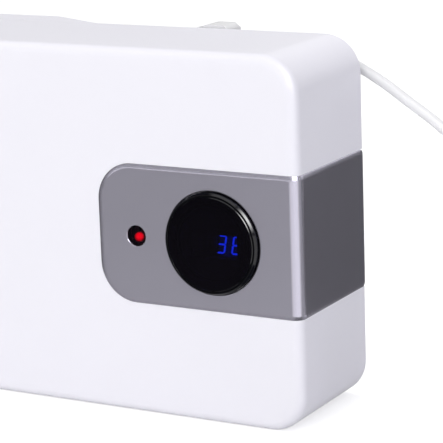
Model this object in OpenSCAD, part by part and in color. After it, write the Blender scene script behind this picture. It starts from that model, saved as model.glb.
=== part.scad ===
// Corded wall thermostat: a deep white housing with a wrap-round control band,
// a turn-and-press dial around a read-out, and a mains lead held at the back.
// Millimetres. X to the right, Y to the back, Z up. The origin is under the middle of the body.

/* [Body] */
// Width of the housing
body_w = 250; // [240:5:320]
// Height of the housing
body_h = 180; // [170:5:210]
// Depth of the housing, without the gap to the wall
body_d = 69; // [66:1:90]
// Radius of the four corners, seen from the front
corner_r = 18.5; // [14:0.5:22]
// Radius of the rounded front edge
edge_r = 5; // [3.5:0.5:6.5]
// Wall thickness of the front shell
wall = 2.8; // [2.5:0.1:3.4]
// Thickness of the back plate
plate_t = 2.5; // [2:0.1:3]
// How far the back plate sits inside the shell's rim
plate_inset = 2; // [1:0.5:3]

/* [Control band] */
// Height of the band
band_h = 68.4; // [64:0.2:76]
// How far the band reaches across the front from the right face
band_reach = 108; // [104:1:120]
// Corner radius of the band's left end
band_r = 19; // [8:1:24]
// Thickness of the band
band_t = 2; // [1.6:0.1:2.4]
// How far the band stands out of the housing
band_proud = 0.8; // [0.4:0.1:1.2]

/* [Dial] */
// Distance of the dial's centre from the right face
dial_in = 45.3; // [42:0.1:50]
// Diameter of the dial
dial_d = 49.4; // [47:0.2:52]
// How far the dial stands out of the band
dial_proud = 2.8; // [2.2:0.1:4]
// Gap around the dial
dial_gap = 0.3; // [0.3:0.1:0.8]
// Width of the bevel round the dial's front
dial_bevel = 1.1; // [0.6:0.1:1.4]
// Width of the dial's rim around the smoked window
rim_w = 1.9; // [1.7:0.1:2.4]
// Thickness of the smoked window
window_t = 2; // [1.5:0.1:2.2]
// Travel when the dial is pressed
press_travel = 0.8; // [0.4:0.1:1]
// Number of magnets in the dial ring
magnet_count = 12; // [8:2:16]

/* [Read-out] */
// Height of a digit
digit_h = 9.1; // [8:0.1:10]
// Width of a digit
digit_w = 4.5; // [4:0.1:5]
// Distance from digit to digit
digit_pitch = 7.85; // [6.6:0.05:8.2]
// Width of a segment
segment_w = 0.8; // [0.7:0.05:1.1]
// How far the read-out sits to the right of the dial's centre
digit_right = 2; // [0:0.1:2.5]
// How far the read-out sits below the dial's centre
digit_below = 1.4; // [0:0.1:2.5]

/* [Indicator] */
// Distance of the indicator's centre from the right face
lamp_in = 87.1; // [82:0.5:90]
// Diameter of the indicator's opening
lamp_d = 10.2; // [9:0.1:11]
// Diameter of the light-emitting diode
led_d = 5; // [4:0.5:5]

/* [Wall bracket] */
// Gap between the housing and the wall
wall_gap = 16; // [15:0.5:22]
// Width of the bracket
bracket_w = 120; // [100:5:140]
// Height of the bracket
bracket_h = 110; // [90:5:120]
// Thickness of the bracket's steel
bracket_t = 1.5; // [1.2:0.1:2]
// Distance between the wall screws, across
wall_hole_x = 90; // [70:1:92]
// Distance between the wall screws, up
wall_hole_z = 70; // [50:1:80]
// Diameter of the wall screw holes
wall_hole_d = 5; // [4:0.5:6]

/* [Leads] */
// Diameter of the mains lead
cord_d = 5.2; // [5:0.1:5.6]
// Radius of the coil at the middle of its turns
coil_mid_r = 29.5; // [28:0.5:31]
// Diameter of the load lead that the gland takes
load_lead_d = 8; // [6:0.5:9]
// Diameter of an inner wire
wire_d = 2; // [1.6:0.1:2.4]

/* [Hidden] */
$fn = 64;

white = "#f0eff6";
silver = "#8d8b98";
black = "#0c0b10";
steel = "#b9bcc2";
board_green = "#1f5a3a";
eps = 0.01;

// Levels along Y, from the dial's face to the wall
total_d = dial_proud + band_proud + body_d + wall_gap;
front_y = dial_proud + band_proud - total_d / 2;
back_y = front_y + body_d;
wall_y = back_y + wall_gap;
face_y = front_y - band_proud;
inner_front_y = front_y + wall;
plate_back_y = back_y - plate_inset;
plate_front_y = plate_back_y - plate_t;

// Places on the front
right_x = body_w / 2;
band_z = body_h / 2 + 0.4;
dial_z = body_h / 2 - 0.5;
dial_x = right_x - dial_in;
lamp_x = right_x - lamp_in;
band_r_ok = min(band_r, band_h / 2 - 2);

// Levels along the dial's axis, counted outward from the band's surface
window_back = dial_proud - window_t;
lip_front = -band_proud - wall + 0.4;
lip_back = -12;
lip_clear = 0.1;
flange_t = 2;
flange_back = lip_back - flange_t;
sleeve_end = -19;
control_front = -19.4;
control_t = 1.6;
plunger_top = -15.8;
carriage_floor = -11.6;
segment_level = -6;
bezel_level = -1.5;

// Radii about the dial's axis
dial_r = dial_d / 2;
window_r = dial_r - rim_w;
journal_r = dial_r - 4.9;
run_clear = 0.05;
cup_r = journal_r - 1.8;
hub_r = dial_r - 1.9;
lip_r = hub_r + 0.5;
flange_r = lip_r + 0.5;
guide_r = flange_r + 0.2;
sleeve_r = guide_r + 2.2;
magnet_r = 1;
magnet_l = 3;
magnet_ring_r = (journal_r + hub_r) / 2;
spring_r = 2;
spring_wire = 0.5;
spring_ring_r = (cup_r + flange_r) / 2 + 0.3;
spring_pocket = 0.8;
spring_turns = 4;
spring_angles = [90, 210, 330];

// Switch, socket and lamp behind the dial
switch_w = 6;
switch_front = -16.8;
plunger_r = 1.6;
stem_r = 2.4;
ribbon_w = 8;
ribbon_t = 0.3;
ribbon_off = 11;
socket_front = -17;
lamp_r = lamp_d / 2;
led_r = led_d / 2;
led_tip = -1.8;
led_base = -9.8;
led_left = 0.8;
led_low = 1.6;
led_leg = 0.5;
led_leg_gap = 2.54;
lens_front = -0.6;
lens_t = 1;
lens_clear = 0.1;
lens_flange_t = 0.6;
lens_collar_t = 0.6;
lens_collar_r = lamp_r - lens_clear - lens_collar_t;
lens_seat = -band_proud - wall;

// Control board, in dial coordinates
board_left = dial_x - lamp_x + 10;
board_right = 29;
board_half = 29;
board_edge = 4;
control_posts = [
  for (x = [board_edge - board_left, board_right - board_edge], z = [-1, 1]) [x, z * (board_half - board_edge)]
];

// Power board, standing in front of the back plate
power_t = 1.6;
power_lift = 8;
power_back_y = plate_front_y - power_lift;
power_front_y = power_back_y - power_t;
power_w = 104;
power_x = -body_w / 2 + 14;
power_z = 30;
power_top_room = 28;
power_h = body_h - power_z - power_top_room;
power_posts = [for (x = [5, power_w - 5], z = [5, power_h - 5]) [power_x + x, power_z + z]];

// Screws as shank radius, length, head radius and head height
case_screw = [1.45, 14, 3.2, 1.8];
board_screw = [1.05, 8, 2.6, 1.6];
lock_screw = [1.55, 10, 3.6, 2.2];
anchor_screw_r = 1.2;
anchor_head_r = 2.8;
anchor_head_t = 1.8;
slot_w = 0.8;
slot_d = 0.6;
thread_clear = 0.05;
through_clear = 0.45;
boss_wall = 3;
post_wall = 2;

case_in = 16;
case_posts = [for (x = [-1, 1], z = [case_in, body_h - case_in]) [x * (body_w / 2 - case_in), z]];

// Wall bracket and its hooks
bracket_z = body_h / 2 - bracket_h / 2 + 3;
plate_y = wall_y - bracket_t;
hook_neck = 8;
hook_rise = 6;
hook_levels = [bracket_z + 6, bracket_z + bracket_h - 6 - hook_neck - hook_rise];
hook_slack = 0.3;
lock_y = (plate_back_y + plate_y) / 2 + 1;
lock_w = 14;
lock_h = 12;

// Slots in the underside for the room sensor, and in the back plate
vent_count = 10;
vent_x = -body_w / 2 + 24;
vent_w = 2.2;
vent_l = 30;
vent_pitch = 4.4;
plate_vent_count = 8;
plate_vent_x = -body_w / 2 + 30;
plate_vent_w = 3;
plate_vent_h = 18;
plate_vent_pitch = 8;
plate_vent_z = body_h - 41;
plate_margin = wall + 0.3;

// Spacer on the back plate's left half, from the housing's top back to the wall
spacer_left = -body_w / 2 + 20;
spacer_flat = 48;
spacer_slope = 26;
spacer_drop = 3;
spacer_h = 20;
spacer_wall = 2;

// Mains lead entry at the back
cord_r = cord_d / 2;
lead_y = back_y + 7.8;
lead_z = body_h - 8.5;
anchor_in = 72.5;
anchor_w = 27;
anchor_h = 24;
anchor_rise = 1.4;
anchor_d = 12.8;
anchor_lift = 1.2;
anchor_r = right_x - anchor_in;
anchor_l = anchor_r - anchor_w;
anchor_front_y = back_y + anchor_lift;
anchor_back_y = anchor_front_y + anchor_d;
anchor_base_z = body_h - anchor_h;
anchor_base_top = body_h - 7;
anchor_screw_z = anchor_base_z + 5;
anchor_screw_x = [anchor_l + 3.5, anchor_r - 5];
anchor_sink = 5;
entry_x = anchor_l + 8;
entry_r = cord_r + 0.3;
relief_l = 29.5;
relief_wall = 1.9;
relief_root = 6;
relief_tip_x = anchor_r + relief_l;

// Coil, tail and plug, all on the surface that the body stands on
coil_x = right_x + 87;
coil_y = 42;
layer_turns = 3.264;
coil_out_r = coil_mid_r + cord_d * layer_turns / 2 + cord_r;
coil_in_r = coil_mid_r - cord_d * layer_turns / 2 - cord_r;
coil_h = 2 * cord_d;
tie_angle = 100;
tie_w = 4;
tie_t = 0.8;
plug_x = 251.8;
plug_y = 11.5;
plug_h = 13.7;
plug_l = 35;
plug_w = 26;
plug_round = 4;
plug_neck = 10;
pin_l = 19;
pin_r = 2;
pin_gap = 18.6;

// The route of the lead, from the strain relief's tip to the coil
CORD_ROUTE = [
  [82, 36.1, 171.5], [91, 36.1, 171.5], [102, 36.1, 169.7], [113, 36.1, 166.3], [124, 36.1, 161.2],
  [134, 36.1, 155.6], [143, 36.1, 149.7], [152.5, 36.1, 143.5], [161.5, 35.9, 137.5], [170, 34.6, 130.9],
  [177, 30.6, 122.3], [182, 24.4, 112], [185.6, 17.4, 100.8], [188.6, 10.8, 89.2], [191.3, 4.8, 77.2],
  [193.5, 0, 65], [195.1, -3.6, 52.6], [195.9, -5.2, 40.2], [195.3, -4.4, 28.6], [192.8, -0.7, 18.5],
  [188.4, 6.1, 10], [183, 15.5, 4.6], [177.6, 25.9, 2.7]
];
// The route of the tail, from the coil to the plug
TAIL_ROUTE = [
  [248.7, 51.8, 7.8], [250.8, 44, 7.6], [251.7, 36, 7.1], [251.8, 29, 6.85], [251.8, 21.5, 6.85]
];

// Segments of a digit as start and end corners, in steps of one width and half a height
SEGMENTS = [
  [[0, 2], [1, 2]], [[1, 2], [1, 1]], [[1, 1], [1, 0]], [[0, 0], [1, 0]],
  [[0, 1], [0, 0]], [[0, 2], [0, 1]], [[0, 1], [1, 1]]
];
LIT = [[], [0, 1, 2, 3, 6], [0, 1, 2, 3, 4, 5, 6]];
digit_slant = 10;

// ---- Helpers ----

// Puts a child on the dial's axis, with its +Z pointing out of the front
module at_dial() translate([dial_x, face_y, dial_z]) rotate([90, 0, 0]) children();
module at_lamp() translate([lamp_x, face_y, dial_z]) rotate([90, 0, 0]) children();
module along_y(x, y, z) translate([x, y, z]) rotate([-90, 0, 0]) children();

// A box given by its low and high corners
module block(lo, hi) translate(lo) cube(hi - lo);

// A tube between two radii, from level z0 up to z1
module sleeve(ro, ri, z0, z1) {
  translate([0, 0, z0]) difference() {
    cylinder(r = ro, h = z1 - z0);
    translate([0, 0, -1]) cylinder(r = ri, h = z1 - z0 + 2);
  }
}

module disc(r, z0, z1) translate([0, 0, z0]) cylinder(r = r, h = z1 - z0);

// The section of a rounded edge, r long and d deep, rounded by f at its outer front
module edge_section(r, d, f) {
  square([r, d - f]);
  square([r - f, d]);
  intersection() {
    translate([r - f, d - f]) circle(r = f);
    translate([r - f, d - f]) square(f);
  }
}

// A slab w wide and h high, with corners of radius r and its front edge rounded by f.
// It stands on Z = 0 with its back at Y = 0, and is d deep.
module pillow(w, h, d, r, f) {
  rotate([90, 0, 0]) {
    translate([-w / 2 + r, r, 0]) cube([w - 2 * r, h - 2 * r, d]);
    for (c = [[w / 2 - r, h - r, 0], [-w / 2 + r, h - r, 90], [-w / 2 + r, r, 180], [w / 2 - r, r, 270]])
      translate([c[0], c[1], 0]) rotate([0, 0, c[2]]) rotate_extrude(angle = 90) edge_section(r, d, f);
    for (s = [[w / 2 - r, r, 0, h - 2 * r], [-w / 2 + r, h - r, 180, h - 2 * r]])
      translate([s[0], s[1], 0]) rotate([0, 0, s[2]]) side_bar(s[3], r, d, f);
    for (s = [[w / 2 - r, h - r, 90, w - 2 * r], [-w / 2 + r, r, 270, w - 2 * r]])
      translate([s[0], s[1], 0]) rotate([0, 0, s[2]]) side_bar(s[3], r, d, f);
  }
}

// A straight edge of the slab, l long along +Y, with its section in X and Z
module side_bar(l, r, d, f)
  translate([0, l, 0]) rotate([90, 0, 0]) linear_extrude(height = l) edge_section(r, d, f);

// A flat shape with corners of radius r
module rounded(w, h, r) {
  translate([-w / 2 + r, -h / 2]) square([w - 2 * r, h]);
  translate([-w / 2, -h / 2 + r]) square([w, h - 2 * r]);
  for (x = [-1, 1], z = [-1, 1]) translate([x * (w / 2 - r), z * (h / 2 - r)]) circle(r = r);
}

// A pan-headed screw along +Z: the head below Z = 0, the shank above it
module screw(shank_r, length, head_r, head_t) {
  difference() {
    translate([0, 0, -head_t]) cylinder(r = head_r, h = head_t);
    translate([-head_r * 0.7, -slot_w / 2, -head_t - 1]) cube([head_r * 1.4, slot_w, 1 + slot_d]);
  }
  translate([0, 0, -eps]) cylinder(r = shank_r, h = length);
}

module screw_of(s) screw(s[0], s[1], s[2], s[3]);

function unit(v) = v / norm(v);
function tangent(p, i) = unit(p[min(i + 1, len(p) - 1)] - p[max(i - 1, 0)]);
function ring_of(p, i, r, sides, up) =
  let (t = tangent(p, i), n = unit(cross(t, up)), b = cross(t, n))
  [for (k = [0:sides - 1]) p[i] + r * (cos(360 * k / sides) * n + sin(360 * k / sides) * b)];

// A round tube of radius r swept along points; up is never along the path
module swept(p, r, sides, up) {
  rings = [for (i = [0:len(p) - 1]) each ring_of(p, i, r, sides, up)];
  last = len(p) - 1;
  walls = [
    for (i = [0:last - 1], k = [0:sides - 1])
      [i * sides + k, (i + 1) * sides + k, (i + 1) * sides + (k + 1) % sides, i * sides + (k + 1) % sides]
  ];
  start = [for (k = [0:sides - 1]) k];
  finish = [for (k = [0:sides - 1]) last * sides + sides - 1 - k];
  polyhedron(points = rings, faces = concat(walls, [start, finish]), convexity = 6);
}

// ---- Housing ----

// The band's outline from the front, grown by g on every side but the right
module band_front(g) {
  left = right_x - band_reach - g;
  r = band_r_ok + g;
  low = band_z - band_h / 2 - g;
  high = band_z + band_h / 2 + g;
  translate([left + r, low]) square([right_x - edge_r - left - r, high - low]);
  translate([left, low + r]) square([r + eps, high - low - 2 * r]);
  for (z = [low + r, high - r]) translate([left + r, z]) circle(r = r);
}

// The band's solid: a front plate, a side plate and the round corner between them
module band_body(out, into, g) {
  rotate([90, 0, 0]) translate([0, 0, -front_y - into]) linear_extrude(height = into + out) band_front(g);
  low = band_z - band_h / 2 - g;
  block([right_x - into, front_y + edge_r, low], [right_x + out, back_y, low + band_h + 2 * g]);
  translate([right_x - edge_r, front_y + edge_r, low]) rotate([0, 0, 270])
    rotate_extrude(angle = 90) translate([edge_r - into, 0]) square([into + out, band_h + 2 * g]);
}

band_into = band_t - band_proud;

module front_cover() color(white) {
  difference() {
    union() {
      difference() {
        translate([0, back_y, 0]) pillow(body_w, body_h, body_d, corner_r, edge_r);
        translate([0, back_y + 1, wall])
          pillow(body_w - 2 * wall, body_h - 2 * wall, body_d - wall + 1, corner_r - wall, edge_r - wall / 2);
      }
      at_dial() sleeve(sleeve_r, lip_r, sleeve_end, -band_proud - wall + eps);
      for (p = control_posts) translate([dial_x + p[0], 0, dial_z + p[1]])
        along_y(0, inner_front_y - eps, 0)
        cylinder(r = board_screw[0] + post_wall, h = face_y - control_front - inner_front_y + eps);
      for (p = case_posts)
        along_y(p[0], inner_front_y - eps, p[1])
          cylinder(r = case_screw[0] + boss_wall, h = plate_front_y - inner_front_y + eps);
    }
    band_body(1, band_into, 0.1);
    at_dial() disc(dial_r + dial_gap, lip_front, 1);
    at_dial() disc(guide_r, sleeve_end - 1, lip_back);
    at_dial() disc(lip_r, lip_back - 1, 1);
    at_lamp() disc(lamp_r, -band_proud - wall - 1, 1);
    for (p = control_posts)
      along_y(dial_x + p[0], face_y - control_front - board_screw[1] - 1, dial_z + p[1])
        cylinder(r = board_screw[0] + thread_clear, h = board_screw[1] + 2);
    for (p = case_posts) along_y(p[0], plate_front_y - case_screw[1], p[1])
      cylinder(r = case_screw[0] + thread_clear, h = case_screw[1] + 1);
    for (i = [0:vent_count - 1]) block(
      [vent_x + i * vent_pitch, front_y + body_d / 2 - vent_l / 2, -1],
      [vent_x + i * vent_pitch + vent_w, front_y + body_d / 2 + vent_l / 2, wall + 1]
    );
    translate([gland_x, gland_y, -1]) cylinder(r = gland_r, h = wall + 2);
  }
}

// The chamfered mouth of the dial's and the lamp's openings
module mouth(r) {
  disc(r, -band_t - 1, 1);
  translate([0, 0, -0.4]) cylinder(r1 = r, r2 = r + 0.5, h = 0.5);
}

module control_band() color(silver) difference() {
  band_body(band_proud, band_into, 0);
  at_dial() mouth(dial_r + dial_gap);
  at_lamp() mouth(lamp_r);
}

module hook_slots() for (x = [-1, 1], z = hook_levels) {
  mid = x * (bracket_w / 2 - bracket_t / 2);
  block(
    [mid - bracket_t / 2 - 0.5, plate_front_y - 1, z - hook_rise - 1],
    [mid + bracket_t / 2 + 0.5, plate_back_y + 1, z + hook_neck]
  );
}

module back_plate() color(white) difference() {
  union() {
    translate([0, plate_back_y, plate_margin]) rotate([90, 0, 0]) linear_extrude(height = plate_t)
      translate([0, body_h / 2 - plate_margin])
        rounded(body_w - 2 * plate_margin, body_h - 2 * plate_margin, corner_r - plate_margin);
    for (p = power_posts)
      along_y(p[0], power_back_y, p[1]) cylinder(r = board_screw[0] + post_wall, h = power_lift + eps);
    block(
      [-lock_w / 2, plate_back_y - eps, bracket_z + bracket_t + 0.3],
      [lock_w / 2, lock_y + 5, bracket_z + bracket_t + 0.3 + lock_h]
    );
    wall_spacer();
  }
  hook_slots();
  for (p = case_posts)
    along_y(p[0], plate_front_y - 1, p[1]) cylinder(r = case_screw[0] + through_clear, h = plate_t + 2);
  for (p = power_posts)
    along_y(p[0], power_back_y - 1, p[1]) cylinder(r = board_screw[0] + thread_clear, h = board_screw[1]);
  translate([0, lock_y, bracket_z]) cylinder(r = lock_screw[0] + thread_clear, h = lock_h);
  along_y(entry_x, plate_front_y - 1, lead_z) cylinder(r = entry_r, h = plate_t + 2);
  for (x = anchor_screw_x)
    along_y(x, plate_front_y - 1, anchor_screw_z)
      cylinder(r = anchor_screw_r + thread_clear, h = plate_t + 2);
  for (i = [0:plate_vent_count - 1]) block(
    [plate_vent_x + i * plate_vent_pitch, plate_front_y - 1, plate_vent_z],
    [plate_vent_x + i * plate_vent_pitch + plate_vent_w, plate_back_y + 1, plate_vent_z + plate_vent_h]
  );
}

module case_screws() color(steel)
  for (p = case_posts) translate([p[0], plate_back_y, p[1]]) rotate([90, 0, 0]) screw_of(case_screw);

// The spacer from behind, shrunk by g all round
module spacer_outline(g) {
  right = spacer_left + spacer_flat + spacer_slope;
  polygon([
    [spacer_left + g, body_h - spacer_h + g], [right - g, body_h - spacer_h + g],
    [right - g, body_h - spacer_drop - g], [spacer_left + spacer_flat, body_h - g],
    [spacer_left + g, body_h - g]
  ]);
}

// A shallow box, open towards the wall, on a narrower foot that stands on the plate inside the rim
module wall_spacer() {
  low = back_y + 0.2;
  foot_top = body_h - wall - 1;
  difference() {
    union() {
      translate([0, wall_y, 0]) rotate([90, 0, 0]) linear_extrude(height = wall_y - low) spacer_outline(0);
      block(
        [spacer_left + spacer_wall, plate_back_y - eps, body_h - spacer_h],
        [spacer_left + spacer_flat, low + eps, foot_top]
      );
    }
    translate([0, wall_y + 1, 0]) rotate([90, 0, 0])
      linear_extrude(height = wall_y + 1 - low - spacer_wall) spacer_outline(spacer_wall);
    block(
      [spacer_left + 2 * spacer_wall, plate_back_y, body_h - spacer_h + spacer_wall],
      [spacer_left + spacer_flat - spacer_wall, wall_y, foot_top - spacer_wall]
    );
  }
}

// ---- Wall bracket ----

module bracket_flange() {
  low = plate_back_y + hook_slack;
  rotate([90, 0, 90]) linear_extrude(height = bracket_t) {
    translate([low, bracket_z]) square([wall_y - low, bracket_h]);
    for (z = hook_levels) {
      translate([plate_front_y - hook_slack - bracket_t, z]) square([low - plate_front_y + 2, hook_neck]);
      translate([plate_front_y - hook_slack - bracket_t, z]) square([bracket_t, hook_neck + hook_rise]);
    }
  }
}

module wall_bracket() color(steel) difference() {
  union() {
    block([-bracket_w / 2, plate_y, bracket_z], [bracket_w / 2, wall_y, bracket_z + bracket_h]);
    for (x = [-bracket_w / 2, bracket_w / 2 - bracket_t]) translate([x, 0, 0]) bracket_flange();
    block([-lock_w / 2, lock_y - 5, bracket_z], [lock_w / 2, plate_y + eps, bracket_z + bracket_t]);
  }
  for (x = [-1, 1], z = [-1, 1])
    along_y(x * wall_hole_x / 2, plate_y - 1, body_h / 2 + z * wall_hole_z / 2)
      cylinder(d = wall_hole_d, h = bracket_t + 2);
  translate([0, lock_y, bracket_z - 1]) cylinder(r = lock_screw[0] + through_clear, h = bracket_t + 2);
}

module bracket_screw() color(steel) translate([0, lock_y, bracket_z]) screw_of(lock_screw);

// ---- Indicator ----

// A thin smoked disc on a collar that reaches through the housing to its flange
module indicator_lens() color("#240409") at_lamp() {
  disc(lamp_r - lens_clear, lens_front - lens_t, lens_front);
  sleeve(lamp_r - lens_clear, lens_collar_r, lens_seat - eps, lens_front - lens_t + eps);
  sleeve(lamp_r + 1.4, lens_collar_r, lens_seat - lens_flange_t, lens_seat);
}

module at_led() at_lamp() translate([-led_left, -led_low, 0]) children();

module indicator_led() color("red") at_led() {
  disc(led_r, led_base, led_tip - led_r);
  translate([0, 0, led_tip - led_r]) intersection() {
    sphere(r = led_r);
    translate([-led_r, -led_r, 0]) cube([2 * led_r, 2 * led_r, led_r]);
  }
  disc(led_r + 0.4, led_base, led_base + 1);
  for (x = [-1, 1]) translate([(x * led_leg_gap - led_leg) / 2, -led_leg / 2, control_front])
    cube([led_leg, led_leg, led_base - control_front + eps]);
}

module led_holder() color(black) at_led() sleeve(led_r + 1.2, led_r - 0.9, control_front, led_base);

// ---- Dial ----

module dial_ring() color(black) at_dial() difference() {
  rotate_extrude() {
    difference() {
      translate([journal_r + run_clear, lip_back + 0.2])
        square([dial_r - journal_r - run_clear, dial_proud - lip_back - 0.2]);
      translate([hub_r, lip_back - 1]) square([dial_r, lip_front - band_skirt - lip_back + 1]);
      translate([window_r + 0.2, window_back - 0.1]) mirror([1, 0]) square([window_r, window_t + 1]);
      translate([dial_r, dial_proud]) polygon([[-dial_bevel - 1, 1], [1, 1], [1, -dial_bevel - 1]]);
    }
  }
  for (i = [0:magnet_count - 1]) rotate([0, 0, 360 * i / magnet_count])
    translate([magnet_ring_r, 0, lip_back]) cylinder(r = magnet_r, h = magnet_l + 0.4, $fn = 24);
}

// Room left under the dial's skirt for its travel
band_skirt = -press_travel - 0.2;

module ring_magnets() color(steel) at_dial()
  for (i = [0:magnet_count - 1]) rotate([0, 0, 360 * i / magnet_count])
    translate([magnet_ring_r, 0, lip_back + 0.3]) cylinder(r = magnet_r - 0.05, h = magnet_l, $fn = 24);

module dial_window() color("#15131c") at_dial() disc(window_r, window_back, dial_proud);

module dial_carriage() color(black) at_dial() difference() {
  union() {
    disc(journal_r, flange_back, window_back);
    disc(flange_r, flange_back, lip_back - lip_clear);
    disc(stem_r, plunger_top, flange_back + eps);
  }
  disc(cup_r, carriage_floor, window_back + 1);
  translate([-ribbon_w / 2 - 0.4, -ribbon_off - 0.5, flange_back - 1]) cube([ribbon_w + 0.8, 1, 4]);
  for (a = spring_angles) rotate([0, 0, a])
    translate([spring_ring_r, 0, flange_back - 1]) cylinder(r = spring_r + 0.25, h = 1 + spring_pocket);
}

bezel_t = 0.8;
bezel_left = digit_pitch + digit_w / 2 + 2.8;
bezel_right = digit_pitch + digit_w / 2 + 2.45;
bezel_h = digit_h + 2;

module display_bezel() color(black) at_dial() difference() {
  disc(cup_r - 0.1, bezel_level - bezel_t, bezel_level);
  translate([-bezel_left, -digit_below - bezel_h / 2, bezel_level - bezel_t - 1])
    cube([bezel_left + bezel_right, bezel_h, bezel_t + 2]);
}

display_t = 1.2;
display_front = carriage_floor + display_t;

module display_board() color(board_green) at_dial() difference() {
  disc(cup_r - 0.2, carriage_floor, display_front);
  translate([-ribbon_w / 2 - 0.4, -ribbon_off - 0.5, carriage_floor - 1]) cube([ribbon_w + 0.8, 1, 3]);
}

module at_digits() at_dial() translate([digit_right, -digit_below, 0]) children();

module digit_module() color("#1a1a1e") at_digits()
  block(
    [-1.5 * digit_pitch - 1, -digit_h / 2 - 1.5, display_front],
    [1.5 * digit_pitch + 1, digit_h / 2 + 1.5, segment_level]
  );

function lean(p) = [p[0] + (p[1] - digit_h / 2) * tan(digit_slant), p[1]];
function segment_points(a, b, half) =
  let (u = unit(b - a) * half, v = [-u[1], u[0]])
  [for (q = [a, a + u + v, b - u + v, b, b - u - v, a + u - v]) lean(q)];

// One segment of the digit in place d, raised from the module's face
module segment(d, s) {
  step = [digit_w - segment_w, (digit_h - segment_w) / 2];
  ends = [for (e = SEGMENTS[s]) [e[0] * step[0], e[1] * step[1]] + [segment_w / 2, segment_w / 2]];
  shrink = unit(ends[1] - ends[0]) * 0.1;
  translate([(d - 1) * digit_pitch - digit_w / 2, -digit_h / 2, segment_level])
    linear_extrude(height = 0.3) polygon(segment_points(ends[0] + shrink, ends[1] - shrink, segment_w / 2));
}

module lit_segments() color("#1428d8") at_digits()
  for (d = [0:2], s = LIT[d]) segment(d, s);

module unlit_segments() color("#26262c") at_digits()
  for (d = [0:2], s = [0:6]) if (len(search(s, LIT[d])) == 0) segment(d, s);

module hall_sensors() color(black) at_dial()
  for (a = [120, 240]) rotate([0, 0, a - 90])
    translate([-1.5, cup_r - 3.4, display_front]) cube([3, 3, 1.2]);

module display_ribbon() color("#d8d8dc") at_dial()
  translate([-ribbon_w / 2, -ribbon_off - ribbon_t / 2, socket_front - 1.2])
    cube([ribbon_w, ribbon_t, display_front - socket_front + 1.2]);

// Wire springs that return the dial
module dial_springs() color(steel) at_dial() {
  low = control_front + spring_wire / 2;
  high = flange_back + spring_pocket - spring_wire / 2;
  r = spring_r - spring_wire / 2;
  steps = spring_turns * 10;
  path = [for (i = [0:steps]) [r * cos(36 * i), r * sin(36 * i), low + (high - low) * i / steps]];
  for (a = spring_angles) rotate([0, 0, a]) translate([spring_ring_r, 0, 0])
    swept(path, spring_wire / 2, 6, [0, 0, 1]);
}

module switch_plunger() color("#e8e2d0") at_dial() disc(plunger_r, control_front + 1.1, plunger_top);

module press_switch() color("#2a2a2e") at_dial() difference() {
  block([-switch_w / 2, -switch_w / 2, control_front], [switch_w / 2, switch_w / 2, switch_front]);
  disc(plunger_r + 0.1, control_front + 1.1 - press_travel - 0.1 + eps, switch_front + 1);
}

module ribbon_socket() color("#e9e4d6") at_dial() difference() {
  translate([-ribbon_w / 2 - 2, -ribbon_off - 2, control_front])
    cube([ribbon_w + 4, 4, socket_front - control_front]);
  block(
    [-ribbon_w / 2 - 0.2, -ribbon_off - ribbon_t / 2 - 0.1, control_front + 0.1],
    [ribbon_w / 2 + 0.2, -ribbon_off + ribbon_t / 2 + 0.1, socket_front + 1]
  );
}

// ---- Control board ----

module control_board() color(board_green) at_dial() difference() {
  block([-board_left, -board_half, control_front - control_t], [board_right, board_half, control_front]);
  for (p = control_posts) translate([p[0], p[1], control_front - control_t - 1])
    cylinder(r = board_screw[0] + through_clear, h = control_t + 2);
}

module control_board_screws() color(steel) at_dial()
  for (p = control_posts) translate([p[0], p[1], control_front - control_t]) screw_of(board_screw);

// Chips as place and size: the controller, the supply chip, a driver and a column of four small ones
CHIPS = concat(
  [[[-20, -7], [10, 10, 1.6]], [[-38, -4], [5, 6, 1.5]], [[4, -16], [4, 4, 1.2]]],
  [for (i = [0:3]) [[-30, -20 + i * 4], [3, 2, 0.8]]]
);
control_back = control_front - control_t;
buzzer_at = [14, 14];
buzzer_r = 6;
buzzer_h = 6;
buzzer_hole_r = 1;

module control_chips() color("#222226") at_dial()
  for (c = CHIPS) translate([c[0][0], c[0][1], control_back - c[1][2]]) cube(c[1]);

module buzzer() color(black) at_dial() translate([buzzer_at[0], buzzer_at[1], 0]) {
  sleeve(buzzer_r, buzzer_hole_r, control_back - buzzer_h, control_back - 1);
  disc(buzzer_r, control_back - 1, control_back);
}

// ---- Power board ----

module power_board() color(board_green) difference() {
  block([power_x, power_front_y, power_z], [power_x + power_w, power_back_y, power_z + power_h]);
  for (p = power_posts) along_y(p[0], power_front_y - 1, p[1])
    cylinder(r = board_screw[0] + through_clear, h = power_t + 2);
}

module power_board_screws() color(steel)
  for (p = power_posts) along_y(p[0], power_front_y, p[1]) screw_of(board_screw);

core_w = 42;
core_h = 36;
core_d = 15;
core_x = power_x + 12;
core_z = power_z + power_h - 52;
bobbin_d = 30;
limb_h = 14;
leg_w = 8;

core_y = power_front_y - bobbin_d / 2 - core_d / 2;
core_windows = [leg_w / 2 + 1, core_h / 2 + limb_h / 4];
window_h = core_h - core_windows[1] - leg_w / 2 - 1;
window_top = core_z + core_windows[1] + window_h;
winding_clear = 0.5;

// A laminated shell core lying on its side, with two windows for the winding
module transformer_core() color("#4a4c52") translate([core_x, core_y, core_z]) difference() {
  cube([core_w, core_d, core_h]);
  for (z = core_windows) translate([leg_w, -1, z]) cube([core_w - 2 * leg_w, core_d + 2, window_h]);
}

module transformer_bobbin() color("#c9b27a") difference() {
  block(
    [core_x + leg_w + winding_clear, power_front_y - bobbin_d, core_z + core_windows[0] + winding_clear],
    [core_x + core_w - leg_w - winding_clear, power_front_y, window_top - winding_clear]
  );
  block(
    [core_x, core_y - 0.2, core_z + core_windows[0] + window_h - 0.2],
    [core_x + core_w, core_y + core_d + 0.2, core_z + core_windows[1] + 0.2]
  );
}

module on_power(at)
  translate([power_x + at[0], power_front_y, power_z + at[1]]) rotate([90, 0, 0]) children();

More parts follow.
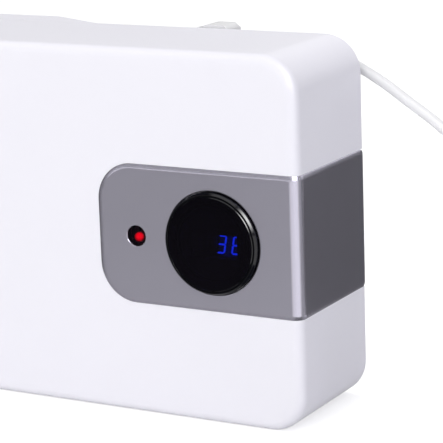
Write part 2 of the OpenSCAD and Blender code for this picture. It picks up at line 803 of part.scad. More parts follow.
// Parts on the power board as place and size: across the board, up it and out of it
relay_size = [15.5, 29, 20];
filter_at = [52, 14];
filter_size = [26, 9, 16];
fuse_at = [66, power_h - 24];
fuse_holder_size = [10, 16, 8];
fuse_wall = 2;
fuse_r = 2.6;
fuse_l = 14;
relay_at = [66, fuse_at[1] - relay_size[1] - 7];
varistor_at = [90, 66];
varistor_r = 5.5;
varistor_t = 4.4;
varistor_lift = 8;
part_leg = 0.6;
smoothing_at = [[14, 46], [30, 46]];
smoothing_r = 6.3;
smoothing_l = 20;
smoothing_rim = 0.7;
terminal_pitch = 7.5;
terminal_d = 10;
terminal_h = 14;
terminal_wire_z = 4;
terminal_wire_r = 1.6;
terminal_screw_r = 2.1;
terminal_screw_z = 6.6;
terminal_screw_l = 5;
mains_terminal_at = [power_w - 12, power_h - 30];
load_terminal_at = [power_w - 12, 12];

module relay() color("#2f6fb3") on_power(relay_at) cube(relay_size);
module line_filter_capacitor() color("#c9a227") on_power(filter_at) cube(filter_size);

module fuse_holder() color(black) on_power(fuse_at) difference() {
  cube(fuse_holder_size);
  translate([fuse_wall, -1, fuse_wall])
    cube([fuse_holder_size[0] - 2 * fuse_wall, fuse_holder_size[1] + 2, fuse_holder_size[2]]);
}

module fuse_tube() color("#dfe3e6") on_power(fuse_at)
  translate([fuse_holder_size[0] / 2, fuse_holder_size[1] / 2, fuse_wall + fuse_r + 0.4])
    rotate([90, 0, 0]) cylinder(r = fuse_r, h = fuse_l, center = true);

module varistor() color("#2e6fd0") on_power(varistor_at) {
  translate([0, 0, varistor_lift]) rotate([0, 90, 0])
    cylinder(r = varistor_r, h = varistor_t, center = true);
  for (y = [-1, 1]) translate([-part_leg / 2, y * varistor_r / 2 - part_leg / 2, 0])
    cube([part_leg, part_leg, varistor_lift - varistor_r / 2]);
}

module smoothing_capacitors() color("#2b2f3a") for (at = smoothing_at)
  on_power(at) {
    cylinder(r = smoothing_r, h = smoothing_l);
    translate([0, 0, smoothing_l - eps]) cylinder(r = smoothing_r - smoothing_rim, h = 0.5);
  }

// A row of wire clamps: wires enter from +X, screws are turned from the front
module terminal(ways) difference() {
  cube([terminal_d, ways * terminal_pitch, terminal_h]);
  for (i = [0:ways - 1]) {
    translate([-1, (i + 0.5) * terminal_pitch, terminal_wire_z])
      rotate([0, 90, 0]) cylinder(r = terminal_wire_r, h = terminal_d + 2);
    translate([terminal_d / 2, (i + 0.5) * terminal_pitch, terminal_screw_z - 0.1])
      cylinder(r = terminal_screw_r + 0.1, h = terminal_h);
  }
}

module mains_terminal() color("#3c8f4e") on_power(mains_terminal_at) terminal(2);
module load_terminal() color("#3c8f4e") on_power(load_terminal_at) terminal(3);

module terminal_screws() color(steel)
  for (t = [[mains_terminal_at, 2], [load_terminal_at, 3]], i = [0:t[1] - 1])
    on_power(t[0] + [terminal_d / 2, (i + 0.5) * terminal_pitch]) difference() {
      translate([0, 0, terminal_screw_z]) cylinder(r = terminal_screw_r, h = terminal_screw_l);
      translate([-1.5, -slot_w / 2, terminal_screw_z + terminal_screw_l - slot_d]) cube([3, slot_w, 1]);
    }

// Flat lead between the two boards, folded once behind the control board, with a plug at each end
link_w = 12;
link_t = 0.9;
link_plug = [6, 5, 14];
link_drop = 4;
link_z = dial_z - 24;
link_from_x = lamp_x + 4;
link_to_x = power_x + power_w - 30;

module board_link() color("#c8c8ce") {
  top_y = face_y - control_back;
  fold_y = top_y + link_plug[1] + link_drop;
  from_x = link_from_x + (link_plug[0] - link_t) / 2;
  to_x = link_to_x + (link_plug[0] - link_t) / 2;
  low_z = link_z + (link_plug[2] - link_w) / 2;
  translate([link_from_x, top_y, link_z]) cube(link_plug);
  block([from_x, top_y + link_plug[1] - eps, low_z], [from_x + link_t, fold_y, low_z + link_w]);
  block([to_x, fold_y - link_t, low_z], [from_x + link_t, fold_y, low_z + link_w]);
  block([to_x, fold_y - link_t, low_z], [to_x + link_t, power_front_y - link_plug[1] + eps, low_z + link_w]);
  translate([link_to_x, power_front_y - link_plug[1], link_z]) cube(link_plug);
}

// ---- Room sensor and load gland ----

// The small sensor board stands over the slots in the underside, with the sensor bead hanging from it
sensor_board_w = 20;
sensor_board_t = 1.4;
sensor_board_z = wall + 11.5;
sensor_board_h = power_z - 2 - sensor_board_z;
sensor_x = vent_x + 16;
sensor_y = power_front_y - 14;
bead_r = 1.6;
bead_drop = 5;
bead_leg = 0.5;

module sensor_board() color(board_green)
  translate([sensor_x - sensor_board_w / 2, sensor_y, sensor_board_z])
    cube([sensor_board_w, sensor_board_t, sensor_board_h]);

module room_sensor() color("#2a2420") translate([sensor_x, sensor_y - 2, sensor_board_z - bead_drop]) {
  sphere(r = bead_r);
  for (x = [-1, 1]) translate([x - bead_leg / 2, -bead_leg / 2, 0])
    cube([bead_leg, bead_leg, bead_drop + 2]);
  translate([-1 - bead_leg / 2, -bead_leg / 2, bead_drop + 1.5])
    cube([2 + bead_leg, 2 + bead_leg / 2, bead_leg]);
}

gland_x = 20;
gland_y = back_y - 22;
gland_r = load_lead_d / 2 + 3.5;
gland_bore = load_lead_d / 2 + 0.25;
gland_flange = 2;
gland_flange_t = 1.5;
gland_l = wall + 8;
nut_h = 5;

module load_gland() color("#e4e3ea") translate([gland_x, gland_y, 0]) difference() {
  union() {
    translate([0, 0, 0.3]) cylinder(r = gland_r - 0.1, h = gland_l);
    translate([0, 0, wall]) cylinder(r = gland_r + gland_flange, h = gland_flange_t);
  }
  translate([0, 0, -1]) cylinder(r = gland_bore, h = wall + 12);
}

module gland_nut() color("#e4e3ea") translate([gland_x, gland_y, wall + gland_flange_t]) difference() {
  cylinder(r = gland_r + gland_flange + 1, h = nut_h, $fn = 6);
  translate([0, 0, -1]) cylinder(r = gland_r, h = nut_h + 2);
}

// ---- Mains lead ----

inner_lead_l = 6;
wire_clear = 0.15;

// One core of the lead, from its cut end to the mains terminal
module wire(z, way) {
  end = [
    power_x + mains_terminal_at[0] + terminal_d, power_front_y - terminal_wire_z,
    power_z + mains_terminal_at[1] + (way + 0.5) * terminal_pitch
  ];
  start = [entry_x, plate_front_y - inner_lead_l, z];
  path = [
    start, start + [0, -4, 0], start + [-3, -8, -1 + way],
    [start[0] - 12, end[1] + 6 - 3 * way, z - 6 + 3 * way],
    [(start[0] + end[0]) / 2 + 6, end[1] + 2 - 4 * way, end[2] + 6],
    end + [10, 0, 1], end + [4, 0, 0], end + [-4, 0, 0]
  ];
  swept(path, wire_d / 2 - wire_clear, 8, [0.1, 0.2, 1]);
}

module live_wire() color("#7a4a26") wire(lead_z - cord_r / 2 + wire_clear, 0);
module neutral_wire() color("#2d5fc4") wire(lead_z + cord_r / 2 - wire_clear, 1);

module inner_lead() color(white) {
  translate([entry_x, lead_y, lead_z]) rotate([0, 90, 0])
    cylinder(r = cord_r, h = anchor_r - relief_root - entry_x);
  translate([entry_x, lead_y, lead_z]) sphere(r = cord_r);
  along_y(entry_x, plate_front_y - inner_lead_l, lead_z)
    cylinder(r = cord_r, h = lead_y - plate_front_y + inner_lead_l);
}

// A block behind the back plate that holds the lead, with its top sloped at both ends
module cord_anchor() color("#dcdbe2") difference() {
  union() {
    translate([0, anchor_back_y, 0]) rotate([90, 0, 0]) linear_extrude(height = anchor_d) anchor_outline();
    block([anchor_l + 1, plate_back_y, anchor_base_z], [anchor_r - 1, anchor_front_y + eps, anchor_base_top]);
  }
  translate([entry_x, lead_y, lead_z]) rotate([0, 90, 0]) cylinder(r = entry_r, h = anchor_r - entry_x + 1);
  translate([entry_x, lead_y, lead_z]) sphere(r = entry_r);
  along_y(entry_x, plate_back_y - 1, lead_z) cylinder(r = entry_r, h = lead_y - plate_back_y + 1);
  translate([anchor_r - relief_root, lead_y, lead_z]) rotate([0, 90, 0])
    cylinder(r = cord_r + relief_wall + 0.1, h = relief_root + 1);
  for (x = anchor_screw_x) {
    along_y(x, plate_back_y - 1, anchor_screw_z) cylinder(r = anchor_screw_r + through_clear, h = 20);
    along_y(x, anchor_back_y - anchor_sink, anchor_screw_z)
      cylinder(r = anchor_head_r + 0.2, h = anchor_sink + 1);
  }
}

// A long slope on the left, a flat top and a short steep slope on the right
module anchor_outline() {
  top = body_h + anchor_rise;
  polygon([
    [anchor_l, anchor_base_z], [anchor_r, anchor_base_z], [anchor_r, top - 2.6],
    [anchor_r - 3, top], [anchor_r - 12.5, top], [anchor_l, top - 4]
  ]);
}

module anchor_screws() color(steel) for (x = anchor_screw_x)
  translate([x, anchor_back_y - anchor_sink, anchor_screw_z]) rotate([90, 0, 0])
    screw(anchor_screw_r, anchor_back_y - anchor_sink - plate_front_y, anchor_head_r, anchor_head_t);

// A ribbed, tapered sleeve on the lead where it leaves the block
module strain_relief() color(white) translate([anchor_r, lead_y, lead_z]) rotate([0, 90, 0]) rotate_extrude()
  polygon([
    [0, 0.1 - relief_root], [cord_r + relief_wall, 0.1 - relief_root], [cord_r + relief_wall, 0],
    [cord_r + relief_wall + 0.2, 0.2], [cord_r + relief_wall + 0.2, 3], [cord_r + 1.5, 4],
    [cord_r + 0.5, relief_l], [0, relief_l]
  ]);

module mains_cord() color(white) swept(CORD_ROUTE, cord_r, 10, [0.1, 1, 0.3]);
module cord_tail() color(white) swept(TAIL_ROUTE, cord_r - 0.1, 10, [0.1, 0.1, 1]);

module cord_coil() color(white) translate([coil_x, coil_y, 0]) rotate_extrude() {
  translate([coil_in_r + cord_r, 0]) square([coil_out_r - coil_in_r - cord_d, coil_h]);
  translate([coil_in_r, cord_r]) square([coil_out_r - coil_in_r, coil_h - cord_d]);
  for (r = [coil_in_r + cord_r, coil_out_r - cord_r], z = [cord_r, coil_h - cord_r])
    translate([r, z]) circle(r = cord_r);
}

module cord_tie() color(black) translate([coil_x, coil_y, 0]) rotate([0, 0, tie_angle]) difference() {
  coil_w = coil_out_r - coil_in_r;
  translate([coil_in_r - tie_t, -tie_w / 2, 0]) cube([coil_w + 2 * tie_t, tie_w, coil_h + tie_t]);
  translate([coil_in_r, -tie_w, tie_t]) cube([coil_w, 2 * tie_w, coil_h - tie_t]);
}

module mains_plug() color(white) translate([plug_x, plug_y, plug_h / 2]) rotate([90, 0, 0]) {
  linear_extrude(height = plug_l) rounded(plug_w, plug_h, plug_round);
  translate([0, 0, -plug_neck]) cylinder(r1 = cord_r + 0.6, r2 = cord_r + 2.6, h = plug_neck + eps);
}

module plug_pins() color("#d8c37a") for (x = [-1, 1])
  translate([plug_x + x * pin_gap / 2, plug_y - plug_l, plug_h / 2]) rotate([90, 0, 0])
    cylinder(r = pin_r, h = pin_l);

front_cover();
control_band();
back_plate();
wall_bracket();
bracket_screw();
case_screws();
indicator_lens();
indicator_led();
led_holder();
dial_ring();
ring_magnets();
dial_window();
dial_carriage();
display_bezel();
display_board();
digit_module();
lit_segments();
unlit_segments();
hall_sensors();
display_ribbon();
dial_springs();
switch_plunger();
press_switch();
ribbon_socket();
control_board();
control_board_screws();
control_chips();
buzzer();
power_board();
power_board_screws();
transformer_core();
transformer_bobbin();
relay();
fuse_holder();
fuse_tube();
varistor();
line_filter_capacitor();
smoothing_capacitors();
mains_terminal();
load_terminal();
terminal_screws();
board_link();
sensor_board();
room_sensor();
load_gland();
gland_nut();
live_wire();
neutral_wire();
inner_lead();
cord_anchor();
anchor_screws();
strain_relief();
mains_cord();
cord_coil();
cord_tail();
cord_tie();
mains_plug();
plug_pins();
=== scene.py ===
# %% [markdown]
# # A corded wall thermostat
# The real object is a deep white moulding with a painted control band wrapped round its right
# end, a turn-and-press dial around a read-out, and a mains lead that leaves from behind. The
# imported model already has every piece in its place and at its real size. This file adds what a
# solid model can't hold: soft edges, finishes, light and a camera.

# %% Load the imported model
import math

import bmesh
import bpy
from mathutils import Matrix, Vector


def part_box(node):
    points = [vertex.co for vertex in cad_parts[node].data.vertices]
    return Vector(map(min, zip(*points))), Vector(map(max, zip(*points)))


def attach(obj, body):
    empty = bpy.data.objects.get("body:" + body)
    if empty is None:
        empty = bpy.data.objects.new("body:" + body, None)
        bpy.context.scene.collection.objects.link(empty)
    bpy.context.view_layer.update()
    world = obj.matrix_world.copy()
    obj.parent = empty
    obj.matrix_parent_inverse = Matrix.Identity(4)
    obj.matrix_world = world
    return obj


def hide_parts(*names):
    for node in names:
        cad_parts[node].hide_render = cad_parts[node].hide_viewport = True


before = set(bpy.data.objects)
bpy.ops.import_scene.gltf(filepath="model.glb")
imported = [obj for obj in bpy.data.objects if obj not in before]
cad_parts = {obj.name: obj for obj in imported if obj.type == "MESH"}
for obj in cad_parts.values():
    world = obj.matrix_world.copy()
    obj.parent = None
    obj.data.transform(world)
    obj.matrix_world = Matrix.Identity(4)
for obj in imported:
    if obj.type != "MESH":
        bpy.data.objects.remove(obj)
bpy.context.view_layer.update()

# %% [markdown]
# ## Sizes read from the model
# Each place comes from a node's own box, so a change of the model carries over. All lengths are
# in metres; MM keeps small ones readable.

# %% Read the main sizes
MM = 0.001
cover_low, cover_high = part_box("front_cover")
band_low, band_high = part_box("control_band")
window_low, window_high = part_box("dial_window")
ring_low, ring_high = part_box("dial_ring")
lens_low, lens_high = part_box("indicator_lens")
FRONT_Y = cover_low.y
BACK_Y = cover_high.y
BAND_Y = band_low.y
RIGHT_X = cover_high.x
BODY_H = cover_high.z
dial_centre = Vector(((ring_low.x + ring_high.x) / 2, BAND_Y, (ring_low.z + ring_high.z) / 2))
lamp_centre = Vector(((lens_low.x + lens_high.x) / 2, BAND_Y, (lens_low.z + lens_high.z) / 2))
print("body", [round(v / MM, 1) for v in cover_high - cover_low], "dial at", dial_centre / MM)

# %% [markdown]
# ## Camera
# A long lens about a metre off, to the right of the dial and a little above it, so that the front,
# the right side and the top all show. The camera looks along one line, then rolls a little round it.

# %% Place the camera
CAMERA_PLACE = (0.55724, -0.87419, 0.32787)
CAMERA_BACK = (0.47997, -0.84634, 0.23094)
CAMERA_ROLL = -1.9856
SENSOR = 36
LENS = 171.36
camera_data = bpy.data.cameras.new("camera")
camera_data.sensor_width = SENSOR
camera_data.lens = LENS
camera = bpy.data.objects.new("camera", camera_data)
bpy.context.scene.collection.objects.link(camera)
camera.location = CAMERA_PLACE
level = (-Vector(CAMERA_BACK)).to_track_quat("-Z", "Y").to_matrix()
roll = Matrix.Rotation(math.radians(CAMERA_ROLL), 3, "Z")
camera.rotation_mode = "QUATERNION"
camera.rotation_quaternion = (level @ roll).to_quaternion()
bpy.context.scene.camera = camera
print("camera", round((camera.location - dial_centre).length, 3), "m from the dial")

# %% [markdown]
# ## The mains lead
# A round two-core lead 5.2 mm across is a heavy, springy thing: it leaves the tapered sleeve
# straight, then falls in one long curve. What isn't in use lies in a coil beside the object,
# with the plug next to it. A curve with a round bevel is the natural way to make it: its own
# line is the lead's centre line. The coil's turns come from a loop, 24 points to a turn, in two
# layers, the lower one winding in and the upper one winding out again.

# %% Lay out the lead
CORD_D = 5.2 * MM
lead_down = [
    (82, 36.1, 171.5), (91, 36.1, 171.5), (102, 36.1, 169.7), (113, 36.1, 166.3), (124, 36.1, 161.2),
    (134, 36.1, 155.6), (143, 36.1, 149.7), (152.5, 36.1, 143.5), (161.5, 35.9, 137.5), (170, 34.6, 130.9),
    (177, 30.6, 122.3), (182, 24.4, 112), (185.6, 17.4, 100.8), (188.6, 10.8, 89.2), (191.3, 4.8, 77.2),
    (193.5, 0, 65), (195.1, -3.6, 52.6), (195.9, -5.2, 40.2), (195.3, -4.4, 28.6), (192.8, -0.7, 18.5),
    (188.4, 6.1, 10), (183, 15.5, 4.6), (177.6, 25.9, 2.7),
]
lead_tail = [(248.7, 51.8, 7.8), (250.8, 44, 7.6), (251.7, 36, 7.1), (251.8, 29, 6.85), (251.8, 21.5, 6.85)]
COIL_CENTRE = (212, 42)
COIL_MID_R = 29.5
LAYER_TURNS = 3.264
COIL_START = 205
COIL_LIFT = 0.15
LAYER_CHANGE = 0.25
POINTS_PER_TURN = 24


def coil_points():
    """The two layers of the coil, clockwise from above: in along the floor, then out on top."""
    pitch = CORD_D / MM
    outer = COIL_MID_R + pitch * LAYER_TURNS / 2
    steps = round(2 * LAYER_TURNS * POINTS_PER_TURN)
    points = []
    for i in range(1, steps):
        turns = 2 * LAYER_TURNS * i / steps
        inward = min(turns, 2 * LAYER_TURNS - turns)
        radius = outer - pitch * inward
        rise = min(max((turns - LAYER_TURNS) / LAYER_CHANGE + 0.5, 0), 1)
        height = COIL_LIFT + pitch * (0.5 + rise * rise * (3 - 2 * rise))
        angle = math.radians(COIL_START - 360 * turns)
        x = COIL_CENTRE[0] + radius * math.cos(angle)
        y = COIL_CENTRE[1] + radius * math.sin(angle)
        points.append((x, y, height))
    return points


lead_points = [Vector(p) * MM for p in lead_down + coil_points() + lead_tail]
print("lead through", len(lead_points), "points")


# %% Make the lead
def smooth_curve(name, points, diameter, look):
    """A round tube along points, with its ends closed."""
    data = bpy.data.curves.new(name, "CURVE")
    data.dimensions = "3D"
    data.bevel_depth = diameter / 2
    data.bevel_resolution = 6
    data.resolution_u = 6
    data.use_fill_caps = True
    data.materials.append(look)
    spline = data.splines.new("BEZIER")
    spline.bezier_points.add(len(points) - 1)
    for knot, point in zip(spline.bezier_points, points):
        knot.co = point
        knot.handle_left_type = knot.handle_right_type = "AUTO"
    piece = bpy.data.objects.new(name, data)
    bpy.context.scene.collection.objects.link(piece)
    return piece


lead_jacket = bpy.data.materials.new("lead_jacket")
mains_lead = smooth_curve("mains_lead", lead_points, CORD_D, lead_jacket)
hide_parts("mains_cord", "cord_coil", "cord_tail")
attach(mains_lead, "housing")

# %% [markdown]
# ## Floor and light
# The object stands on a plain pale floor in a white room. The floor glows a little for the camera
# alone, so it comes out white and still keeps a shadow. The room's own light is even and a little
# dim, so the lamps still give the faces different shades: a large soft one from the front, one
# from above, and a weak one from the right. The camera sees the room as plain white, also through
# clear plastic. Gloss sees the dim room, and cards that nothing else can see: bright ones for the
# highlights on painted and glossy edges, dark ones where those surfaces mirror shade.

# %% Make the floor
FLOOR_HALF = 6
floor_mesh = bpy.data.meshes.new("floor")
floor_bm = bmesh.new()
bmesh.ops.create_grid(floor_bm, x_segments=1, y_segments=1, size=FLOOR_HALF)
floor_bm.to_mesh(floor_mesh)
floor_bm.free()
floor = bpy.data.objects.new("floor", floor_mesh)
bpy.context.scene.collection.objects.link(floor)
print("floor", floor.dimensions.x, "m wide")


# %% Give the floor and the room their light
def node_tree(owner):
    """An empty node tree with its output, ready for a shader."""
    owner.use_nodes = True
    tree = owner.node_tree
    tree.nodes.clear()
    kind = "ShaderNodeOutputWorld" if isinstance(owner, bpy.types.World) else "ShaderNodeOutputMaterial"
    return tree, tree.nodes.new(kind)


def fading(tree, centre, near, far, strength, rest=0):
    """A strength that falls from its full value at near to rest at far from a point, in metres."""
    place = tree.nodes.new("ShaderNodeTexCoord")
    away = tree.nodes.new("ShaderNodeVectorMath")
    away.operation = "DISTANCE"
    away.inputs[1].default_value = centre
    fade = tree.nodes.new("ShaderNodeMapRange")
    fade.interpolation_type = "SMOOTHSTEP"
    fade.inputs["From Min"].default_value = near
    fade.inputs["From Max"].default_value = far
    fade.inputs["To Min"].default_value = strength
    fade.inputs["To Max"].default_value = rest
    tree.links.new(place.outputs["Object"], away.inputs[0])
    tree.links.new(away.outputs["Value"], fade.inputs["Value"])
    return fade.outputs["Result"]


ROOM_LIGHT = 0.5
FLOOR_GLOW = 0.55
floor_look = bpy.data.materials.new("floor_paper")
tree, output = node_tree(floor_look)
paper = tree.nodes.new("ShaderNodeBsdfDiffuse")
paper.inputs["Color"].default_value = (0.8, 0.8, 0.8, 1)
glow = tree.nodes.new("ShaderNodeEmission")
rays = tree.nodes.new("ShaderNodeLightPath")
seen = tree.nodes.new("ShaderNodeMath")
seen.operation = "MULTIPLY"
seen.inputs[1].default_value = FLOOR_GLOW
both = tree.nodes.new("ShaderNodeAddShader")
tree.links.new(rays.outputs["Is Camera Ray"], seen.inputs[0])
tree.links.new(seen.outputs[0], glow.inputs["Strength"])
tree.links.new(paper.outputs[0], both.inputs[0])
tree.links.new(glow.outputs[0], both.inputs[1])
tree.links.new(both.outputs[0], output.inputs["Surface"])
floor_mesh.materials.append(floor_look)

world = bpy.data.worlds.new("room")
bpy.context.scene.world = world
tree, output = node_tree(world)
dim = tree.nodes.new("ShaderNodeBackground")
dim.inputs["Color"].default_value = (1, 1, 1, 1)
dim.inputs["Strength"].default_value = ROOM_LIGHT
plain = tree.nodes.new("ShaderNodeBackground")
plain.inputs["Color"].default_value = (1, 1, 1, 1)
rays = tree.nodes.new("ShaderNodeLightPath")
direct = tree.nodes.new("ShaderNodeMath")
direct.operation = "MAXIMUM"
either = tree.nodes.new("ShaderNodeMixShader")
tree.links.new(rays.outputs["Is Camera Ray"], direct.inputs[0])
tree.links.new(rays.outputs["Is Transmission Ray"], direct.inputs[1])
tree.links.new(direct.outputs[0], either.inputs[0])
tree.links.new(dim.outputs[0], either.inputs[1])
tree.links.new(plain.outputs[0], either.inputs[2])
tree.links.new(either.outputs[0], output.inputs["Surface"])
print("room light", ROOM_LIGHT)


# %% Hang the lamps
def soft_lamp(name, location, size, power, colour=(1, 1, 1)):
    """A square lamp aimed at the dial."""
    data = bpy.data.lights.new(name, "AREA")
    data.size = size
    data.energy = power
    data.color = colour
    lamp = bpy.data.objects.new(name, data)
    bpy.context.scene.collection.objects.link(lamp)
    lamp.location = location
    aim = dial_centre - Vector(location)
    lamp.rotation_mode = "QUATERNION"
    lamp.rotation_quaternion = aim.to_track_quat("-Z", "Y")
    lamp.visible_glossy = False


soft_lamp("lamp_front", (-0.1, -1.8, 0.45), 1.1, 15.1)
soft_lamp("lamp_above", (-0.35, 0.1, 1.65), 1.2, 11.4)
soft_lamp("lamp_right", (1.6, -0.1, 0.4), 0.8, 3.8, (0.86, 0.85, 1))
bpy.context.scene.view_settings.view_transform = "Standard"
print("3 lamps")


# %% Stand the reflector cards round it
def gloss_card(name, azimuth, elevation, distance, size, strength, reach=None, drop=0, rest=0):
    """A card that only gloss sees. Azimuth turns from the front to the right, in degrees; with a
    reach it fades to rest that far from a point, which lies drop below its middle."""
    turn, rise = math.radians(azimuth), math.radians(elevation)
    way = Vector((math.sin(turn) * math.cos(rise), -math.cos(turn) * math.cos(rise), math.sin(rise)))
    shape = bmesh.new()
    bmesh.ops.create_grid(shape, x_segments=1, y_segments=1, size=0.5)
    bmesh.ops.scale(shape, vec=(size[0], size[1], 1), verts=shape.verts)
    middle = dial_centre + way * distance
    facing = (-way).to_track_quat("Z", "Y").to_matrix().to_4x4()
    bmesh.ops.transform(shape, matrix=Matrix.Translation(middle) @ facing, verts=shape.verts)
    mesh = bpy.data.meshes.new(name)
    shape.to_mesh(mesh)
    shape.free()
    look = bpy.data.materials.new(name)
    tree, output = node_tree(look)
    light = tree.nodes.new("ShaderNodeEmission")
    light.inputs["Strength"].default_value = strength
    if reach:
        brightest = tuple(middle - Vector((0, 0, drop)))
        tree.links.new(fading(tree, brightest, 0, reach, strength, rest), light.inputs["Strength"])
    tree.links.new(light.outputs[0], output.inputs["Surface"])
    mesh.materials.append(look)
    board = bpy.data.objects.new(name, mesh)
    bpy.context.scene.collection.objects.link(board)
    board.visible_camera = False
    board.visible_diffuse = False
    board.visible_transmission = False
    board.visible_shadow = False


gloss_card("card_corner", 47, -13, 1.0, (1.1, 1.0), 1.6)
gloss_card("card_shoulder", 18, -13, 1.02, (1.8, 1.0), 1.5, reach=0.85, rest=0.5)
gloss_card("card_dark", 143, -11, 1.0, (1.3, 0.75), 0.1)
gloss_card("card_rim", 51, 33, 0.95, (0.9, 0.9), 24, reach=0.45)
gloss_card("card_top", 0, 60, 1.0, (0.9, 0.5), 1.6)
gloss_card("card_left", -97, 20, 1.0, (1.3, 1.9), 0.04)
gloss_card("card_under", 62, -58, 1.0, (1.0, 0.7), 0.08)
gloss_card("card_line", -25, 7, 1.0, (1.1, 0.14), 2.6)
gloss_card("card_front", -30, -13, 1.03, (1.2, 1.0), 0.72, reach=1.0, drop=0.36)
gloss_card("card_behind", 160, 30, 1.0, (1.6, 0.7), 1.6)
floor.visible_glossy = False
print("10 cards")

# %% [markdown]
# ## Finishes
# Every finish is a node material. Moulded plastic is never quite even: a faint mottle changes
# its colour and its gloss, and a very fine grain shows in the highlights. The same helper makes
# all of them, with the colour, the gloss and the size of the grain as its values.


# %% Make the helper for moulded and painted finishes
def finish(
    name, colour, rough, metal=0.0, mottle=0.03, mottle_size=30, grain=0.02, grain_size=2500, specular=0.5,
):
    """A surface with a faint mottle in its colour and gloss, and a fine grain."""
    look = bpy.data.materials.get(name) or bpy.data.materials.new(name)
    tree, output = node_tree(look)
    shader = tree.nodes.new("ShaderNodeBsdfPrincipled")
    shader.inputs["Metallic"].default_value = metal
    shader.inputs["Specular IOR Level"].default_value = specular
    place = tree.nodes.new("ShaderNodeTexCoord")
    cloud = tree.nodes.new("ShaderNodeTexNoise")
    cloud.inputs["Scale"].default_value = mottle_size
    cloud.inputs["Detail"].default_value = 4
    shade = tree.nodes.new("ShaderNodeMix")
    shade.data_type = "RGBA"
    shade.inputs["A"].default_value = (*[c * (1 - mottle) for c in colour], 1)
    shade.inputs["B"].default_value = (*[min(c * (1 + mottle), 1) for c in colour], 1)
    gloss = tree.nodes.new("ShaderNodeMapRange")
    gloss.inputs["To Min"].default_value = rough * 0.92
    gloss.inputs["To Max"].default_value = min(rough * 1.08, 1)
    fine = tree.nodes.new("ShaderNodeTexNoise")
    fine.inputs["Scale"].default_value = grain_size
    fine.inputs["Detail"].default_value = 2
    bump = tree.nodes.new("ShaderNodeBump")
    bump.inputs["Strength"].default_value = grain
    bump.inputs["Distance"].default_value = 0.1 * MM
    tree.links.new(place.outputs["Object"], cloud.inputs["Vector"])
    tree.links.new(place.outputs["Object"], fine.inputs["Vector"])
    tree.links.new(cloud.outputs["Fac"], shade.inputs["Factor"])
    tree.links.new(cloud.outputs["Fac"], gloss.inputs["Value"])
    tree.links.new(fine.outputs["Fac"], bump.inputs["Height"])
    tree.links.new(shade.outputs["Result"], shader.inputs["Base Color"])
    tree.links.new(gloss.outputs["Result"], shader.inputs["Roughness"])
    tree.links.new(bump.outputs["Normal"], shader.inputs["Normal"])
    tree.links.new(shader.outputs["BSDF"], output.inputs["Surface"])
    return look


white_shell = finish("white_shell", (0.86, 0.85, 0.915), 0.42, mottle=0.006, specular=0.36)
finish("lead_jacket", (0.85, 0.85, 0.86), 0.42, mottle=0.012)
grey_moulding = finish("grey_moulding", (0.78, 0.78, 0.79), 0.45)
silver_paint = finish(
    "silver_paint", (0.435, 0.42, 0.495), 0.26, metal=0.85, mottle=0.02, grain=0.06, grain_size=4000,
)
black_gloss = finish("black_gloss", (0.002, 0.002, 0.0045), 0.1, specular=0.36)
black_print = finish("black_print", (0.002, 0.002, 0.003), 0.5, specular=0.03)
black_satin = finish("black_satin", (0.006, 0.006, 0.008), 0.5, specular=0.3)
zinc = finish("zinc", (0.62, 0.63, 0.65), 0.34, metal=1.0, mottle=0.12, mottle_size=180)
brass = finish("brass", (0.74, 0.6, 0.3), 0.25, metal=1.0, mottle=0.05, mottle_size=120)
print("finishes for the outside")

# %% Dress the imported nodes
board_green = finish("board_green", (0.012, 0.09, 0.04), 0.35, mottle=0.2, mottle_size=400)
core_steel = finish("core_steel", (0.09, 0.095, 0.105), 0.55, metal=0.6, mottle=0.2, mottle_size=300)
winding = finish("winding", (0.55, 0.4, 0.14), 0.4, mottle=0.15, mottle_size=500)
blue_case = finish("blue_case", (0.03, 0.15, 0.42), 0.4)
yellow_case = finish("yellow_case", (0.55, 0.35, 0.02), 0.4)
green_clamp = finish("green_clamp", (0.04, 0.24, 0.08), 0.45)
cream = finish("cream", (0.76, 0.71, 0.57), 0.5)
brown_sleeve = finish("brown_sleeve", (0.2, 0.075, 0.025), 0.45)
blue_sleeve = finish("blue_sleeve", (0.03, 0.11, 0.5), 0.45)
glass_tube = finish("glass_tube", (0.75, 0.78, 0.8), 0.1)
DRESS = {
    white_shell: ["front_cover", "back_plate", "load_gland", "gland_nut"],
    lead_jacket: ["inner_lead"],
    grey_moulding: ["cord_anchor", "display_ribbon", "board_link"],
    silver_paint: ["control_band"],
    black_gloss: ["dial_ring"],
    black_satin: [
        "dial_carriage", "display_bezel", "unlit_segments", "led_holder", "hall_sensors",
        "press_switch", "control_chips", "buzzer", "fuse_holder", "cord_tie", "smoothing_capacitors",
        "room_sensor",
    ],
    zinc: [
        "wall_bracket", "bracket_screw", "case_screws", "ring_magnets", "dial_springs",
        "control_board_screws", "power_board_screws", "terminal_screws", "anchor_screws",
    ],
    brass: ["plug_pins"],
    board_green: ["display_board", "control_board", "power_board", "sensor_board"],
    core_steel: ["transformer_core"],
    winding: ["transformer_bobbin"],
    blue_case: ["relay", "varistor"],
    yellow_case: ["line_filter_capacitor"],
    green_clamp: ["mains_terminal", "load_terminal"],
    cream: ["switch_plunger", "ribbon_socket"],
    brown_sleeve: ["live_wire"],
    blue_sleeve: ["neutral_wire"],
    glass_tube: ["fuse_tube"],
}


def dress(piece, look):
    """Gives every slot of a piece the same finish."""
    piece.data.materials.clear()
    piece.data.materials.append(look)


for look, names in DRESS.items():
    for name in names:
        dress(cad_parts[name], look)
print("dressed", sum(len(v) for v in DRESS.values()), "of", len(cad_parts), "nodes")
